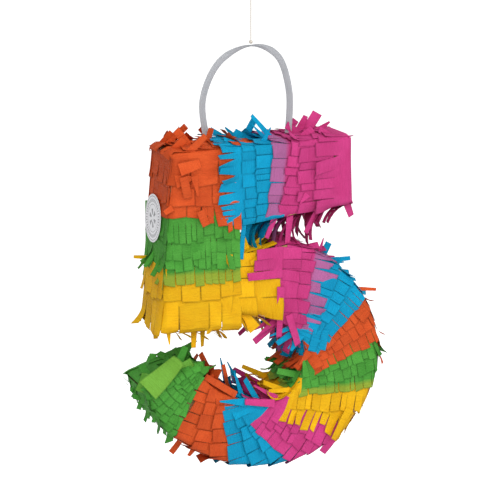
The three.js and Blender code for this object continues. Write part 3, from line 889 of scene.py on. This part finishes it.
# ---- Pink fringe on the belly ----
# The first row's fingers point back over the yellow and the others on over the blue.
belly_pink = Fringe(6)
into_eye = dict(droop=0.35, stray=0.45, jag=0.15, curl=0.016)
over_yellow = dict(finger=0.0115, base=0.0042, lift=0.0030, stray=0.25, jag=0.15, rims=(0, 0))
belly_pink.comb(lambda t, d: (Vector((0.022 - d, -half_depth, -0.292 - t)), Vector((0, -1, 0))),
                0.036, 0.038, **over_yellow)
belly_pink.comb(lambda t, d: (Vector((0.022 - d, half_depth, -0.328 + t)), Vector((0, 1, 0))),
                0.036, 0.038, **over_yellow)
belly_pink.row(((0.046, -0.292), (0.040, -0.376)), right_way, 0.030, finger=0.014,
               inner=into_eye, wrap=True, over=(0.001, 0.008))
belly_pink.row(((0.064, -0.297), (0.050, -0.380)), right_way, 0.034, finger=0.012,
               inner=into_eye, wrap=True, over=(0.001, 0.008))
belly_pink.row(((0.096, -0.300), (0.068, -0.390)), right_way, 0.046, finger=0.0125,
               inner=into_eye, gap=0.0018, stray=0.15, jag=0.1, uncut=2, lap=0.030, wrap=True,
               over=(0.001, 0.008))
belly_pink.strays([
    ((0.020, -0.042, -0.338), (0.019, -0.398), 0.0099), ((0.030, -0.041, -0.372), (0.042, -0.409), 0.0094),
    ((0.088, -0.010, -0.302), (0.094, -0.282), 0.0058), ((0.027, -0.022, -0.366), (0.000, -0.377), 0.0094),
    ((0.025, -0.026, -0.373), (0.000, -0.389), 0.0094), ((0.024, -0.022, -0.386), (-0.007, -0.408), 0.0082)])
belly_pink.bristle(92, 70, 8)
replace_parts(belly_pink.done("pink_belly_fringe", pink_over_blue), "pink_belly_band")


# ---- The bands round the bowl ----
# Each band has two or three rows that fan out round the eye. A row's tips lie on a line from the
# outer edge to the eye, and the rows share out the turn from one line to the next.
def fan(band, start, end, rows, length, toward, last=None, **comb):
    (a, b), (c, d) = ([Vector(p) for p in pair] for pair in (start, end))
    for i in range(1, rows + 1):
        share = i / rows
        extra = (last or {}) if i == rows else {}
        heading = Vector(toward[0]).lerp(Vector(toward[1]), share)
        band.row((a.lerp(c, share), b.lerp(d, share)), heading, length, wrap=True, over=(0.002, 0.007),
                 **{**comb, **extra})


blue_line = ((0.080, -0.303), (0.060, -0.385))
edges = [
    ((0.132, -0.358), (0.078, -0.411)),
    ((0.140, -0.417), (0.059, -0.448)),
    ((0.136, -0.471), (0.032, -0.472)),
    ((0.094, -0.530), (0.017, -0.492)),
    ((0.024, -0.542), (-0.013, -0.502)),
    ((-0.043, -0.531), (-0.052, -0.465)),
    ((-0.109, -0.505), (-0.070, -0.428)),
]
ways = [(0.95, -0.3), (0.7, -0.7), (0.35, -0.94), (0, -1),
        (-0.45, -0.9), (-0.75, -0.66), (-0.99, -0.1), (-0.9, 0.45)]
spray = dict(stray=0.4, jag=0.15, curl=0.014)

belly_blue = Fringe(7)
fan(belly_blue, blue_line, edges[0], 3, 0.034, ways[0:2], finger=0.011, inner=into_eye)
belly_blue.strays([
    ((0.097, -0.005, -0.303), (0.107, -0.286), 0.0082), ((0.102, -0.008, -0.304), (0.119, -0.302), 0.0053),
    ((0.116, -0.022, -0.315), (0.134, -0.329), 0.0070), ((0.045, -0.035, -0.386), (0.009, -0.396), 0.0082),
    ((0.047, -0.036, -0.390), (0.017, -0.406), 0.0082), ((0.052, -0.037, -0.393), (0.033, -0.415), 0.0094),
    ((0.066, -0.040, -0.394), (0.059, -0.419), 0.0105), ((0.076, -0.040, -0.395), (0.071, -0.418), 0.0094)])
belly_blue.bristle(72, 46, 16)
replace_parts(belly_blue.done("blue_belly_fringe", blue_over_orange), "blue_belly_band")

bowl_orange = Fringe(8)
fan(bowl_orange, edges[0], edges[1], 3, 0.032, ways[1:3], finger=0.0105, inner=into_eye, stray=0.12)
bowl_orange.strays([((0.139, -0.008, -0.346), (0.172, -0.351), 0.0050),
                    ((0.056, -0.040, -0.419), (0.044, -0.434), 0.0105)])
bowl_orange.bristle(44, 16, 8)
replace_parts(bowl_orange.done("orange_bowl_fringe", orange_over_green), "orange_bowl_band")

bowl_green = Fringe(9)
fan(bowl_green, edges[1], edges[2], 3, 0.032, ways[2:4], finger=0.0095, inner=spray, last=dict(lap=0.008))
bowl_green.strays([((0.052, -0.041, -0.448), (0.049, -0.425), 0.0094),
                   ((0.056, -0.030, -0.452), (0.030, -0.444), 0.0080),
                   ((0.054, -0.020, -0.440), (0.030, -0.452), 0.0080)])
bowl_green.bristle(14, -6, 6)
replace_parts(bowl_green.done("green_bowl_fringe", green_over_yellow), "green_bowl_band")

bowl_yellow = Fringe(10)
fan(bowl_yellow, edges[2], edges[3], 2, 0.036, ways[3:5], finger=0.0105, inner=spray,
    last=dict(stray=0.2, jag=0.12, gap=0.0010))
bowl_yellow.strays([((0.107, -0.041, -0.493), (0.085, -0.527), 0.0094),
                    ((0.034, -0.030, -0.467), (0.002, -0.451), 0.0070),
                    ((0.037, -0.033, -0.463), (0.008, -0.462), 0.0058),
                    ((0.030, -0.012, -0.470), (0.004, -0.458), 0.0080)])
bowl_yellow.bristle(-8, -34, 7)
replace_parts(bowl_yellow.done("yellow_bowl_fringe", yellow_over_pink), "yellow_bowl_band")

bowl_pink = Fringe(11)
fan(bowl_pink, edges[3], edges[4], 3, 0.034, ways[4:6], finger=0.011, inner=spray)
bowl_pink.strays([((0.090, -0.038, -0.524), (0.074, -0.543), 0.0105),
                  ((0.022, -0.032, -0.473), (-0.009, -0.452), 0.0082),
                  ((0.013, -0.041, -0.475), (-0.024, -0.468), 0.0094)])
bowl_pink.bristle(-38, -62, 6)
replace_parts(bowl_pink.done("pink_bowl_fringe", pink_over_blue), "pink_bowl_band")

bowl_blue = Fringe(12)
fan(bowl_blue, edges[4], edges[5], 3, 0.034, ways[5:7], finger=0.015, inner=spray)
bowl_blue.strays([((-0.019, -0.025, -0.468), (-0.029, -0.434), 0.0070),
                  ((-0.001, -0.028, -0.472), (-0.018, -0.442), 0.0070),
                  ((-0.024, -0.041, -0.469), (-0.055, -0.464), 0.0094)])
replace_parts(bowl_blue.done("blue_bowl_fringe", blue_over_orange), "blue_bowl_band")

tail_orange = Fringe(13)
fan(tail_orange, edges[5], edges[6], 3, 0.036, ways[6:8], finger=0.013, inner=spray)
tail_orange.strays([((-0.030, -0.025, -0.452), (-0.054, -0.425), 0.0070),
                    ((-0.032, -0.036, -0.461), (-0.069, -0.435), 0.0082),
                    ((-0.023, 0.000, -0.456), (-0.029, -0.424), 0.0058),
                    ((-0.040, 0.010, -0.450), (-0.058, -0.428), 0.0080),
                    ((-0.082, -0.020, -0.532), (-0.090, -0.543), 0.0070)])
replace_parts(tail_orange.done("orange_tail_fringe", orange_over_green), "orange_tail_band")

# ---- Green fringe on the tail ----
# The last band is laid from the tail's end back, so its rows overlap like fish scales.
tail_green = Fringe(14)
for i in range(6):
    share = (i + 1) / 6
    a, b = (end.lerp(Vector(far), share) for end, far in zip(tail_end, edges[6]))
    run = (b - a).normalized()
    way = Vector((run.y, -run.x))
    length = 0.016 if i < 5 else 0.022

    def scales(t, d, y=-1, a=a, run=run, way=way, length=length):
        spot = a + run * (t - 0.005) + way * (d - length)
        place = tucked(spot, y, (tail_end,))
        return folded(spot, y) if place[1] == Vector((0, y, 0)) else place

    width = (b - a).length + 0.010
    tail_green.comb(scales, width, length, finger=0.0085 if i < 5 else 0.016, stray=0.06, lift=0.0032,
                    gap=0.0006)
    tail_green.comb(lambda t, d, f=scales, w=width: f(w - t, d, 1), width, length, finger=0.0085,
                    stray=0.1, lift=0.0028)
for i in range(5):
    tail_green.wall(round_edge(bowl_middle, 0.146, 0.1285, 2, -144 + 5.2 * i), (0.6, -0.8), 0.018,
                    finger=0.009, stray=0.35, jag=0.12)
tail_green.wall((-0.074, -0.4225), (0.1, -1), 0.016, -1, finger=0.010, stray=0.4, curl=0.02)
for i in range(22):
    share, y = tail_green.chance.uniform(0.02, 0.98), tail_green.chance.uniform(-0.034, 0.034)
    root = tail_end[0].lerp(tail_end[1], share)
    heading = (tail_green.chance.uniform(-0.5, 1), tail_green.chance.uniform(-0.8, 0.8),
               tail_green.chance.uniform(0.1, 0.5))
    tail_green.leaf((root.x, y, root.y - 0.001), heading, (-0.29, 0, 0.96),
                    tail_green.chance.uniform(0.014, 0.026), 0.011,
                    tail_green.chance.uniform(-0.8, 0.8), tail_green.chance.uniform(-0.5, 0.5),
                    tail_green.chance.uniform(0.75, 1.1), 0.2)
tail_green.leaf((-0.139, -0.0435, -0.441), (0.78, 0.0, 0.62), (-0.35, -0.85, 0.4), 0.048, 0.028,
                0.35, 0.25, 1.16, 0.4, 0.2, 0.35)
tail_green.leaf((-0.118, -0.030, -0.436), (0.95, 0.05, 0.42), (-0.2, -0.8, 0.6), 0.040, 0.016,
                0.3, -0.3, 1.1, 0.3, 0.1, 0.25)
tail_green.leaf((-0.141, -0.026, -0.448), (0.35, 0.1, 0.75), (-0.8, -0.5, 0.2), 0.022, 0.018,
                0.4, 0.3, 1.05, 0.4, 0.1, 0.2)
tail_green.strays([
    ((-0.094, -0.016, -0.436), (-0.083, -0.410), 0.0105), ((-0.080, 0.020, -0.430), (-0.058, -0.414), 0.0140),
    ((-0.070, 0.010, -0.432), (-0.078, -0.411), 0.0129), ((-0.133, 0.000, -0.481), (-0.141, -0.480), 0.0094),
    ((-0.133, 0.010, -0.467), (-0.148, -0.456), 0.0058),
    ((-0.136, -0.005, -0.467), (-0.150, -0.462), 0.0058)],
    both=False)
tail_green.bristle(-118, -142, 10)
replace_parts(tail_green.done("green_tail_fringe", green_over_yellow), "green_tail_band")

# ---- The end sheets ----
# A sheet of tissue closes each end of the stroke, and is turned over on to the front and
# back by a few millimetres.
for name, colour, start, end in (("pink_end", pink_over_blue, (0.106, -0.17445), (0.108, -0.25045)),
                                 ("green_end", green_over_yellow, *tail_end)):
    sheet = Fringe(20 if name == "pink_end" else 21)
    a, b = Vector(start), Vector(end)
    run = (b - a).normalized()
    out = Vector((-run.y, run.x))

    def closing(t, d, a=a, b=b, run=run, out=out, hem=0.003):
        spot, y = a + run * (t - hem), half_depth + hem - d
        for past, edge, normal in ((hem - t, a, -run), (t - hem - (b - a).length, b, run)):
            if past > 0:
                spot = edge - out * past
                return Vector((spot.x, y, spot.y)), Vector((normal.x, 0, normal.y))
        past = abs(y) - half_depth
        if past > 0:
            spot -= out * past
            return (Vector((spot.x, math.copysign(half_depth + 0.0002, y), spot.y)),
                    Vector((0, math.copysign(1, y), 0)))
        return Vector((spot.x, y, spot.y)), Vector((out.x, 0, out.y))

    sheet.comb(closing, (b - a).length + 0.006, 2 * half_depth + 0.006, finger=0.008, uncut=6,
               lift=0.0, base=0.0005, stray=0, puff=0.0012)
    piece = sheet.done(name.split("_")[0] + "_end_paper", colour)
    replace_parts(piece, name + "_sheet")

# ---- The fill flap's fringe ----
# Short rows glued on the flap itself, so that they fold out with it.
patch = Fringe(15)
for i in range(3):
    patch.comb(lambda t, d, i=i: (Vector((flap_right - t, half_depth, flap_top - 0.001 - 0.0145 * i - d)),
                                  Vector((0, 1, 0))),
               flap_right - flap_left, 0.016, finger=0.009, lift=0.0014, stray=0.0, puff=0.0, jag=0.02)
flap_paper = finish_mesh("green_flap_fringe", patch.shape, green_over_yellow.material, 0.00014)
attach(flap_paper, "flap")
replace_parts(flap_paper, "flap_fringe")

# ---- The round label ----
# A glossy white paper disc with a grey printed rim, a ring of small marks and a plain
# pattern in the middle.
sticker = Finish("printed_label", Roughness=0.4, Coat_Weight=0.2)
spot = sticker.node("TexCoord", output=3)
axes = sticker.tree.nodes.new("ShaderNodeSeparateXYZ")
sticker.tree.links.new(spot.socket, axes.inputs[0])
u, v = Wire(sticker.tree, axes.outputs[1]) - 0.010, Wire(sticker.tree, axes.outputs[2]) + 0.25917
radius = (u * u + v * v).math("SQRT")
angle = v.math("ARCTAN2", u)
rings = ((radius - 0.0245).math("ABSOLUTE") < 0.0004) + ((radius - 0.0155).math("ABSOLUTE") < 0.0003)
marks = ((angle * 40.0).math("SINE") > 0.0) * ((radius - 0.020).math("ABSOLUTE") < 0.0018)
petals = ((angle * 6.0).math("SINE") > 0.1) * (radius < 0.0105) * (radius > 0.0040)
ink = (rings + marks + petals).math("MINIMUM", 1.0)
sticker.put("Base Color", sticker.mix(ink * 0.9, rgb(224, 224, 228), rgb(70, 72, 80)))
sticker.bump(sticker.noise(spot, 160.0), 0.0004, 0.4)
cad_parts["round_label"].data.materials.clear()
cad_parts["round_label"].data.materials.append(sticker.material)
